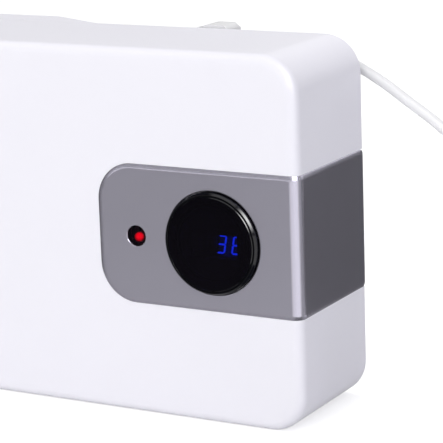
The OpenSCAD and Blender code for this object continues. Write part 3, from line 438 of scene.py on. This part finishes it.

# %% [markdown]
# ## Glow and dark glass
# The read-out and the lamp glow by themselves, and the module behind the digits has a faint painted
# glow that fades away from them, standing in for their light spreading over it. Both the read-out
# and the lamp stand behind dark, clear plastic. The window lets only a little light through, so
# nothing else behind it shows.


# %% Make the glowing and the dark clear finishes
def glow_finish(name, colour, strength, centre=None, near=0, far=0):
    """A surface that gives its own light; with a centre, the light fades from near to far, in mm."""
    look = bpy.data.materials.new(name)
    tree, output = node_tree(look)
    shader = tree.nodes.new("ShaderNodeBsdfPrincipled")
    shader.inputs["Base Color"].default_value = (*[0.05 * c for c in colour], 1)
    shader.inputs["Roughness"].default_value = 0.4
    shader.inputs["Emission Color"].default_value = (*colour, 1)
    shader.inputs["Emission Strength"].default_value = strength
    if centre:
        fade = fading(tree, centre, near * MM, far * MM, strength)
        tree.links.new(fade, shader.inputs["Emission Strength"])
    tree.links.new(shader.outputs["BSDF"], output.inputs["Surface"])
    return look


def clear_finish(name, colour, specular):
    """Dark plastic that light passes through."""
    look = bpy.data.materials.new(name)
    tree, output = node_tree(look)
    shader = tree.nodes.new("ShaderNodeBsdfPrincipled")
    shader.inputs["Base Color"].default_value = (*colour, 1)
    shader.inputs["Roughness"].default_value = 0.03
    shader.inputs["IOR"].default_value = 1.2
    shader.inputs["Transmission Weight"].default_value = 1
    shader.inputs["Specular IOR Level"].default_value = specular
    shader.inputs["Specular Tint"].default_value = (0.75, 0.65, 1, 1)
    tree.links.new(shader.outputs["BSDF"], output.inputs["Surface"])
    return look


# Where the glow is strongest: behind the dome's tip, a little up and to the right.
LED_HEART = (0.7, 1.4, 0.7)
led_low, led_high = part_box("indicator_led")
led_centre = Vector(((led_low.x + led_high.x) / 2, led_low.y, (led_low.z + led_high.z) / 2))
led_heart = led_centre + Vector(LED_HEART) * MM
lit_low, lit_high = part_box("lit_segments")
lit_middle = tuple((lit_low + lit_high) / 2)
blue_glow = glow_finish("blue_glow", (0.01, 0.05, 0.85), 10.5)
# Painted glow: the digit module is no lamp, but it glows faintly round the digits as their spread light
# would.
painted_blue_halo = glow_finish("painted_blue_halo", (0.0, 0.05, 0.85), 0.45, lit_middle, 3.5, 9)
red_glow = glow_finish("red_glow", (0.8, 0.0, 0.03), 3, tuple(led_heart), 1.0, 2.7)
smoked_window = clear_finish("smoked_window", (0.033, 0.032, 0.068), 0.1)
smoked_lens = clear_finish("smoked_lens", (0.35, 0.1, 0.12), 0.3)
dress(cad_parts["lit_segments"], blue_glow)
dress(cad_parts["digit_module"], painted_blue_halo)
dress(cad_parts["dial_window"], smoked_window)
dress(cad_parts["indicator_lens"], smoked_lens)
print("glow and dark glass")

# %% [markdown]
# ## From a shape to a piece
# Every shape below starts as a bmesh: a cube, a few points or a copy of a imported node, worked on
# with the same operators that the editor's menus offer. A few helpers turn them into pieces. The
# first gives the mesh its object, its finish and smooth shading, and lets the big flat faces
# decide the shading at a round edge. Others give some faces a second finish, turn a profile on a
# lathe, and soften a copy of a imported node, since no moulded or stamped edge is perfectly sharp.


# %% Make a piece from a shape
def to_piece(name, shape, look, body, *nodes, crease=32):
    """A finished piece on a body, in place of its nodes; edges beyond crease degrees stay sharp."""
    bmesh.ops.recalc_face_normals(shape, faces=shape.faces)
    for edge in shape.edges:
        edge.smooth = edge.calc_face_angle(math.pi) < math.radians(crease)
    mesh = bpy.data.meshes.new(name)
    shape.to_mesh(mesh)
    shape.free()
    mesh.materials.append(look)
    mesh.shade_smooth()
    piece = bpy.data.objects.new(name, mesh)
    bpy.context.scene.collection.objects.link(piece)
    even = piece.modifiers.new("even_shading", "WEIGHTED_NORMAL")
    even.keep_sharp = True
    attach(piece, body)
    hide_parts(*nodes)
    return piece


def second_finish(piece, look, test):
    """Another finish on the faces of a piece that pass a test."""
    piece.data.materials.append(look)
    for face in piece.data.polygons:
        if test(face):
            face.material_index = 1


# %% Turn a profile
FRONTWARD = Matrix.Rotation(math.pi / 2, 4, "X")
BACKWARD = Matrix.Rotation(-math.pi / 2, 4, "X")
RIGHTWARD = Matrix.Rotation(math.pi / 2, 4, "Y")
CORNER_SEGMENTS = 4


def rounded_corners(corners):
    """The points of a profile, with each corner (x, y, radius) rounded."""
    points = []
    for i, (x, y, radius) in enumerate(corners):
        corner = Vector((x, y))
        if radius == 0:
            points.append(corner)
            continue
        before = (Vector(corners[i - 1][:2]) - corner).normalized()
        after = (Vector(corners[(i + 1) % len(corners)][:2]) - corner).normalized()
        half = before.angle(after) / 2
        centre = corner + (before + after).normalized() * radius / math.sin(half)
        start = corner + before * radius / math.tan(half) - centre
        end = corner + after * radius / math.tan(half) - centre
        for k in range(CORNER_SEGMENTS + 1):
            points.append(centre + start.lerp(end, k / CORNER_SEGMENTS).normalized() * radius)
    return points


def turned(corners, place, steps):
    """A closed solid turned from a profile of (radius, height, rounding), in millimetres."""
    shape = bmesh.new()
    line = [shape.verts.new((x * MM, 0, z * MM)) for x, z in rounded_corners(corners)]
    for a, b in zip(line, line[1:]):
        shape.edges.new((a, b))
    if corners[0][0] > 0:
        shape.edges.new((line[-1], line[0]))
    bmesh.ops.spin(
        shape, geom=shape.verts[:] + shape.edges[:], cent=(0, 0, 0), axis=(0, 0, 1),
        angle=math.tau, steps=steps, use_merge=True,
    )
    bmesh.ops.remove_doubles(shape, verts=shape.verts, dist=0.001 * MM)
    bmesh.ops.transform(shape, matrix=place, verts=shape.verts)
    return shape


def add_shape(shape, other):
    """Adds another shape's solids to a shape."""
    mesh = bpy.data.meshes.new("part")
    other.to_mesh(mesh)
    other.free()
    shape.from_mesh(mesh)
    bpy.data.meshes.remove(mesh)


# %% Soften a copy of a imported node
SHARP_FROM = 50


def merged_copy(node):
    """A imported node's mesh with its loose triangles joined and its flat faces whole."""
    shape = bmesh.new()
    shape.from_mesh(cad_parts[node].data)
    bmesh.ops.remove_doubles(shape, verts=shape.verts, dist=0.001 * MM)
    bmesh.ops.dissolve_limit(
        shape, angle_limit=math.radians(0.5), verts=shape.verts, edges=shape.edges, delimit={"NORMAL"},
    )
    return shape


def softened(name, node, look, body, width):
    """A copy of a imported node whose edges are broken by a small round."""
    piece = to_piece(name, merged_copy(node), look, body, node, crease=180)
    edges = piece.modifiers.new("broken_edges", "BEVEL")
    edges.width = width * MM
    edges.segments = 2
    edges.limit_method = "ANGLE"
    edges.angle_limit = math.radians(SHARP_FROM)
    piece.modifiers.move(1, 0)
    return piece


print("helpers for pieces")

# %% [markdown]
# ## The housing
# The cover is one deep moulding with a draftless wall, round corners and a rounded front. The
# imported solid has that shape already, so a merged copy with smooth shading is enough; only the
# edge of its rim is rounded here. The back plate, its spacer and the steel bracket are copies
# with their edges broken.

# %% Make the housing's pieces
RIM_ROUND = 0.5
cover_shape = merged_copy("front_cover")
# The rim's outer edges: on the back face, beside a wall that faces outward.
rim = [
    edge for edge in cover_shape.edges
    if all(abs(v.co.y - BACK_Y) < 0.01 * MM for v in edge.verts)
    and edge.calc_face_angle(0) > 1
    and any(abs(f.normal.y) < 0.1 and f.normal.dot(v.co - Vector((0, 0, BODY_H / 2))) > 0
            for f in edge.link_faces for v in edge.verts[:1])
]
bmesh.ops.bevel(
    cover_shape, geom=rim, offset=RIM_ROUND * MM, offset_type="OFFSET", segments=3, profile=0.5,
    affect="EDGES", material=-1, clamp_overlap=True,
)
cover_shell = to_piece("cover_shell", cover_shape, white_shell, "housing", "front_cover")
softened("rear_plate", "back_plate", white_shell, "housing", 0.5)
softened("steel_bracket", "wall_bracket", zinc, "housing", 0.3)
softened("cord_block", "cord_anchor", grey_moulding, "housing", 0.7)
print("cover of", len(cover_shell.data.polygons), "faces,", len(rim), "rim edges rounded")

# %% [markdown]
# ## The control band
# The band is one thin moulding, painted silver, bent round the corner. It is easiest to make
# flat, as a sheet metal worker would: a slab with two round corners, its edge eased in a few
# steps of inset, the two openings each led in from a wide circle, and only then the bend. Each
# point past the start of the bend moves on to an arc, and past the arc on to the side.

# %% Lay out the band
BAND_T = 2.0
BAND_CORNER_R = 19.0
BAND_END_R = 2.6
EDGE_R = 5.0
# Each step of the eased edge: how far in, and how far forward.
EDGE_STEPS = [(0.1, 0.12), (0.6, 0.21), (0.6, 0.19), (0.5, 0.14), (0.2, 0.035), (0.15, 0.014), (0.15, 0.004)]
edge_rise = sum(rise for _, rise in EDGE_STEPS)
bend_x = RIGHT_X - EDGE_R * MM
bend_r = EDGE_R * MM + (FRONT_Y - BAND_Y)
bend_length = bend_r * math.pi / 2
flat_length = bend_x - band_low.x + bend_length + band_high.y - (FRONT_Y + EDGE_R * MM)
print("flat band", round(flat_length / MM, 1), "mm long")


# %% Make the flat band
def slab(low, high):
    """A box between two corners."""
    shape = bmesh.new()
    bmesh.ops.create_cube(shape, size=1)
    size = Vector(high) - Vector(low)
    bmesh.ops.scale(shape, vec=size, verts=shape.verts)
    bmesh.ops.translate(shape, vec=Vector(low) + size / 2, verts=shape.verts)
    return shape


def round_edges(shape, edges, radius, segments):
    """Rounds edges with an even round."""
    bmesh.ops.bevel(
        shape, geom=edges, offset=radius * MM, offset_type="OFFSET", segments=segments, profile=0.5,
        affect="EDGES", material=-1, clamp_overlap=True,
    )


def along(shape, axis, test):
    """The edges that run along an axis (0, 1 or 2) and pass a test of their middle."""
    found = []
    for edge in shape.edges:
        way = edge.verts[1].co - edge.verts[0].co
        if abs(way[axis]) > 0.999 * way.length and test((edge.verts[0].co + edge.verts[1].co) / 2):
            found.append(edge)
    return found


band_shape = slab(
    (band_low.x, BAND_Y + edge_rise * MM, band_low.z),
    (band_low.x + flat_length, BAND_Y + BAND_T * MM, band_high.z),
)
round_edges(band_shape, along(band_shape, 1, lambda p: p.x < bend_x), BAND_CORNER_R, 16)
round_edges(band_shape, along(band_shape, 1, lambda p: p.x > band_low.x + flat_length - MM), BAND_END_R, 4)
band_face = min(band_shape.faces, key=lambda f: f.calc_center_median().y)
for width, rise in EDGE_STEPS:
    bmesh.ops.inset_region(
        band_shape, faces=[band_face], thickness=width * MM, depth=rise * MM, use_even_offset=True,
    )
print("flat band of", len(band_shape.faces), "faces")

# %% Cut its openings and bend it
DIAL_GAP = 0.3
DIAL_EASE = 0.7
LAMP_OPENING_R = 5.1
LAMP_EASE = 0.4
EASE_STEPS = 6
BEND_STEPS = 12
HOLE_STEPS = 96
ring_r = (ring_high.x - ring_low.x) / 2 / MM
at_dial = Matrix.Translation(dial_centre) @ FRONTWARD
at_lamp = Matrix.Translation(lamp_centre) @ FRONTWARD


def circle(shape, radius, place):
    """The edges of a new circle."""
    verts = bmesh.ops.create_circle(shape, segments=HOLE_STEPS, radius=radius * MM, matrix=place)["verts"]
    return list({edge for vert in verts for edge in vert.link_edges})


def swap_for_holed(shape, face, circles):
    """Swaps a flat face for triangles that leave the circles open."""
    outline = list(face.edges)
    bmesh.ops.delete(shape, geom=[face], context="FACES_ONLY")
    bmesh.ops.triangle_fill(shape, edges=outline + circles, use_beauty=True, normal=(0, -1, 0))


def line_hole(shape, circle_edges, back_edges, radius, ease, centre):
    """Leads a hole inward from its wide mouth, round the eased edge and on to the back."""
    for i in range(1, EASE_STEPS + 1):
        grown = bmesh.ops.extrude_edge_only(shape, edges=circle_edges)["geom"]
        verts = [part for part in grown if isinstance(part, bmesh.types.BMVert)]
        touched = {edge for vert in verts for edge in vert.link_edges}
        circle_edges = [edge for edge in touched if all(vert in verts for vert in edge.verts)]
        turn = [math.pi / 2 * k / EASE_STEPS for k in (i - 1, i)]
        reach = [radius + ease * (1 - math.sin(t)) for t in turn]
        size = reach[1] / reach[0]
        drop = ease * MM * (math.cos(turn[0]) - math.cos(turn[1]))
        bmesh.ops.scale(shape, vec=(size, 1, size), space=Matrix.Translation(-centre), verts=verts)
        bmesh.ops.translate(shape, vec=(0, drop, 0), verts=verts)
    bmesh.ops.bridge_loops(shape, edges=circle_edges + back_edges)


openings = [
    (ring_r + DIAL_GAP, DIAL_EASE, at_dial, dial_centre),
    (LAMP_OPENING_R, LAMP_EASE, at_lamp, lamp_centre),
]
to_back = Matrix.Translation((0, 0, -BAND_T * MM))
front_circles = [circle(band_shape, radius + ease, place) for radius, ease, place, _ in openings]
back_circles = [circle(band_shape, radius, place @ to_back) for radius, _, place, _ in openings]
band_back = max(band_shape.faces, key=lambda f: f.calc_center_median().y)
swap_for_holed(band_shape, band_face, [edge for ring in front_circles for edge in ring])
swap_for_holed(band_shape, band_back, [edge for ring in back_circles for edge in ring])
for (radius, ease, _, centre), front, back in zip(openings, front_circles, back_circles):
    line_hole(band_shape, front, back, radius, ease, centre)
for i in range(BEND_STEPS + 1):
    bmesh.ops.bisect_plane(
        band_shape, geom=band_shape.verts[:] + band_shape.edges[:] + band_shape.faces[:],
        plane_co=(bend_x + bend_length * i / BEND_STEPS, 0, 0), plane_no=(1, 0, 0),
    )
for vert in band_shape.verts:
    depth = vert.co.y - BAND_Y
    past = vert.co.x - bend_x
    if past > bend_length:
        vert.co.x = bend_x + bend_r - depth
        vert.co.y = FRONT_Y + EDGE_R * MM + past - bend_length
    elif past > 0:
        vert.co.x = bend_x + (bend_r - depth) * math.sin(past / bend_r)
        vert.co.y = FRONT_Y + EDGE_R * MM - (bend_r - depth) * math.cos(past / bend_r)
bent_band = to_piece("bent_band", band_shape, silver_paint, "housing", "control_band")
print("band of", len(bent_band.data.polygons), "faces")

# %% [markdown]
# ## The dial and the indicator
# A lathe makes them all: the black ring with a groove for its magnets, the window with a finely
# bevelled edge, the lamp's lens with its collar, and the diode behind it. The ring's flat rim is
# matt, its bevel is glossy. The collar and the flange of the lens are painted black, so only its
# thin front lets the red light out. Heights are in millimetres and count from the band's face,
# the diode's from its own tip.

# %% Turn the ring and the window
LATHE_STEPS = 128
RIM_BEVEL = 0.9
RIM_DROP = 0.25
WINDOW_EDGE = 0.35
WINDOW_T = 2
WINDOW_GAP = 0.15
RING_BORE = 19.85
RING_LEDGE = 2.1
HEAD_BACK = -2.2
SKIRT_R = 22.8
SKIRT_BACK = -11.8
MAGNETS_IN = 20.2
MAGNETS_OUT = 22.4
MAGNETS_FRONT = -8.6
window_r = (window_high.x - window_low.x) / 2 / MM
proud = (BAND_Y - ring_low.y) / MM
rim_level = proud - RIM_DROP
dial_rim = turned([
    (RING_BORE, SKIRT_BACK, 0), (MAGNETS_IN, SKIRT_BACK, 0), (MAGNETS_IN, MAGNETS_FRONT, 0),
    (MAGNETS_OUT, MAGNETS_FRONT, 0), (MAGNETS_OUT, SKIRT_BACK, 0), (SKIRT_R, SKIRT_BACK, 0),
    (SKIRT_R, HEAD_BACK, 0), (ring_r, HEAD_BACK, 0), (ring_r, rim_level - RIM_BEVEL, 0.3),
    (ring_r - RIM_BEVEL, rim_level, 0.3), (window_r + WINDOW_GAP, rim_level, 0.1),
    (window_r + WINDOW_GAP, proud - RING_LEDGE, 0), (RING_BORE, proud - RING_LEDGE, 0),
], at_dial, steps=LATHE_STEPS)
turning_ring = to_piece("turning_ring", dial_rim, black_gloss, "ring", "dial_ring")
second_finish(turning_ring, black_print, lambda face: face.normal.y < -0.97)
window_shape = turned([
    (0, proud, 0), (window_r - WINDOW_EDGE, proud, 0.1), (window_r, proud - WINDOW_EDGE, 0.1),
    (window_r, proud - WINDOW_T, 0), (0, proud - WINDOW_T, 0),
], at_dial, steps=LATHE_STEPS)
dial_glass = to_piece("dial_glass", window_shape, smoked_window, "press", "dial_window")


def on_window_edge(face):
    """Whether a face is on the bevel round the window."""
    return (face.center - dial_centre).xz.length > (window_r - WINDOW_EDGE) * MM and face.normal.y < -0.2


second_finish(dial_glass, black_gloss, on_window_edge)
print("ring and window turned, the ring", round(proud, 2), "mm proud")

# %% Turn the lamp's lens
LENS_R = 5
LENS_BORE = 4.4
LENS_FRONT = -0.6
LENS_SKIN = 1
FLANGE_R = 6.5
FLANGE_FRONT = -3.6
FLANGE_BACK = -4.2
PAINT_EDGE = 0.1
lamp_glass = turned([
    (0, LENS_FRONT, 0), (LENS_R, LENS_FRONT, 0.15), (LENS_R, FLANGE_FRONT, 0), (FLANGE_R, FLANGE_FRONT, 0),
    (FLANGE_R, FLANGE_BACK, 0), (LENS_BORE, FLANGE_BACK, 0), (LENS_BORE, LENS_FRONT - LENS_SKIN, 0),
    (0, LENS_FRONT - LENS_SKIN, 0),
], at_lamp, steps=64)
lamp_cover = to_piece("lamp_cover", lamp_glass, smoked_lens, "housing", "indicator_lens")


def on_lens_collar(face):
    """Whether a face is on the lens's collar or flange, behind its front."""
    wide = (face.center - lamp_centre).xz.length > (LENS_BORE - PAINT_EDGE) * MM
    return wide and face.center.y > BAND_Y - (LENS_FRONT - PAINT_EDGE) * MM


second_finish(lamp_cover, black_satin, on_lens_collar)
print("lens of", len(lamp_cover.data.polygons), "faces")

# %% Turn the lamp's diode
LED_R = 2.5
LED_L = 8
LED_RIM = 0.4
LED_RIM_T = 1
LED_LEG = 0.5
LED_LEG_GAP = 2.54
DOME_STEP = 6
at_led = Matrix.Translation(led_centre) @ FRONTWARD
dome = []
for degrees in range(0, 91, DOME_STEP):
    turn = math.radians(degrees)
    dome.append((LED_R * math.sin(turn), LED_R * math.cos(turn) - LED_R, 0))
led_shape = turned(dome + [
    (LED_R, LED_RIM_T - LED_L, 0), (LED_R + LED_RIM, LED_RIM_T - LED_L, 0.1),
    (LED_R + LED_RIM, -LED_L, 0.1), (0, -LED_L, 0),
], at_led, steps=48)
led_back = led_low.y + LED_L * MM
for side in (-1, 1):
    middle = led_centre + Vector((side * LED_LEG_GAP / 2 * MM, 0, 0))
    half = LED_LEG / 2 * MM
    add_shape(led_shape, slab(
        (middle.x - half, led_back, middle.z - half), (middle.x + half, led_high.y, middle.z + half),
    ))
lamp_diode = to_piece("lamp_diode", led_shape, red_glow, "housing", "indicator_led", crease=40)
second_finish(lamp_diode, zinc, lambda face: face.center.y > led_back + 0.01 * MM)
print("diode of", len(lamp_diode.data.polygons), "faces")

# %% [markdown]
# ## The lead's fittings
# Where the lead leaves its block, a soft sleeve with ribs keeps it from kinking. The plug is a
# flat round-cornered moulding with a ribbed neck that narrows to the lead, and two pins, each with
# a plastic sleeve near the plug. The coil is held by a flat tie.

# %% Make the strain relief
CORD_R = CORD_D / MM / 2
RELIEF_ROOT = 5.9
ROOT_WALL = 1.9
COLLAR_WALL = 2.1
COLLAR_L = 3
RIBS = 7
RIB_PITCH = 2.6
RIB_WALL = 1.5
RIB_TAPER = 0.11
RIB_DEPTH = 0.45
relief_low, relief_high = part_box("strain_relief")
lead_exit = Vector((relief_low.x, (relief_low.y + relief_high.y) / 2, (relief_low.z + relief_high.z) / 2))
relief_l = (relief_high.x - relief_low.x) / MM
relief_profile = [
    (0, 0, 0), (CORD_R + ROOT_WALL, 0, 0), (CORD_R + ROOT_WALL, RELIEF_ROOT, 0),
    (CORD_R + COLLAR_WALL, RELIEF_ROOT + 0.2, 0.2), (CORD_R + COLLAR_WALL, RELIEF_ROOT + COLLAR_L, 0.4),
]
# Each pitch is a groove 0.9 long and a rib 1.3 long, with short slopes between them.
for i in range(RIBS):
    at = RELIEF_ROOT + COLLAR_L + 0.4 + i * RIB_PITCH
    rib_r = CORD_R + RIB_WALL - RIB_TAPER * i
    groove_r = rib_r - RIB_DEPTH
    relief_profile += [
        (groove_r, at, 0.15), (groove_r, at + 0.9, 0.15), (rib_r, at + 1.1, 0.2), (rib_r, at + 2.4, 0.2),
    ]
relief_profile += [(CORD_R + 0.5, relief_l, 0.3), (0, relief_l, 0)]
relief_shape = turned(relief_profile, Matrix.Translation(lead_exit) @ RIGHTWARD, steps=40)
cord_sleeve = to_piece("cord_sleeve", relief_shape, lead_jacket, "housing", "strain_relief")
print("strain relief", round(relief_l, 1), "mm long")

# %% Make the plug
PLUG_ROUND = 4
PLUG_EDGE = 1.2
PLUG_NECK = 10
NECK_ROOT = 3
NECK_RIBS = 4
NECK_PITCH = 2.1
plug_low, plug_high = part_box("mains_plug")
neck_y = plug_high.y - PLUG_NECK * MM
plug_shape = slab((plug_low.x, plug_low.y, plug_low.z), (plug_high.x, neck_y, plug_high.z))
round_edges(plug_shape, along(plug_shape, 1, lambda p: True), PLUG_ROUND, 6)
round_edges(plug_shape, [e for e in plug_shape.edges if e.calc_face_angle(0) > 1], PLUG_EDGE, 3)
plug_middle = Vector(((plug_low.x + plug_high.x) / 2, neck_y, (plug_low.z + plug_high.z) / 2))
neck_profile = [(0, -NECK_ROOT, 0), (CORD_R + 2.6, -NECK_ROOT, 0), (CORD_R + 2.6, 0.4, 0.8)]
for i in range(NECK_RIBS):
    at = 0.9 + NECK_PITCH * i
    groove_r = CORD_R + 1.5 - 0.25 * i
    rib_r = CORD_R + 2.2 - 0.4 * i
    neck_profile += [
        (groove_r, at, 0.2), (groove_r, at + 0.9, 0.2), (rib_r, at + 1, 0.2), (rib_r - 0.1, at + 2, 0.2),
    ]
neck_profile += [(CORD_R + 0.6, PLUG_NECK, 0.2), (0, PLUG_NECK, 0)]
add_shape(plug_shape, turned(neck_profile, Matrix.Translation(plug_middle) @ BACKWARD, steps=32))
plug_body = to_piece("plug_body", plug_shape, lead_jacket, "housing", "mains_plug")
print("plug of", len(plug_body.data.polygons), "faces")

PIN_SLEEVE = 10
PIN_ROUND = 1.5
SLEEVE_STEP = 0.1
pins_low, pins_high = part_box("plug_pins")
pin_r = (pins_high.z - pins_low.z) / 2 / MM
pin_l = (pins_high.y - pins_low.y) / MM
sleeve_r = pin_r - SLEEVE_STEP
# The tip starts just inside the sleeve, so that no gap shows between them.
tip_from = PIN_SLEEVE - 0.01
sleeve_profile = [(0, 0, 0), (sleeve_r, 0, 0), (sleeve_r, PIN_SLEEVE, 0), (0, PIN_SLEEVE, 0)]
tip_profile = [(0, tip_from, 0), (pin_r, tip_from, 0), (pin_r, pin_l, PIN_ROUND), (0, pin_l, 0)]
pins_shape = bmesh.new()
for x in (pins_low.x + pin_r * MM, pins_high.x - pin_r * MM):
    place = Matrix.Translation((x, pins_high.y, (pins_low.z + pins_high.z) / 2)) @ FRONTWARD
    add_shape(pins_shape, turned(sleeve_profile, place, steps=32))
    add_shape(pins_shape, turned(tip_profile, place, steps=32))
round_pins = to_piece("round_pins", pins_shape, brass, "housing", "plug_pins")
second_finish(round_pins, black_satin, lambda face: face.center.y > pins_high.y - PIN_SLEEVE * MM)
coil_strap = softened("coil_strap", "cord_tie", black_satin, "housing", 0.35)
print("pins of", len(round_pins.data.polygons), "faces")
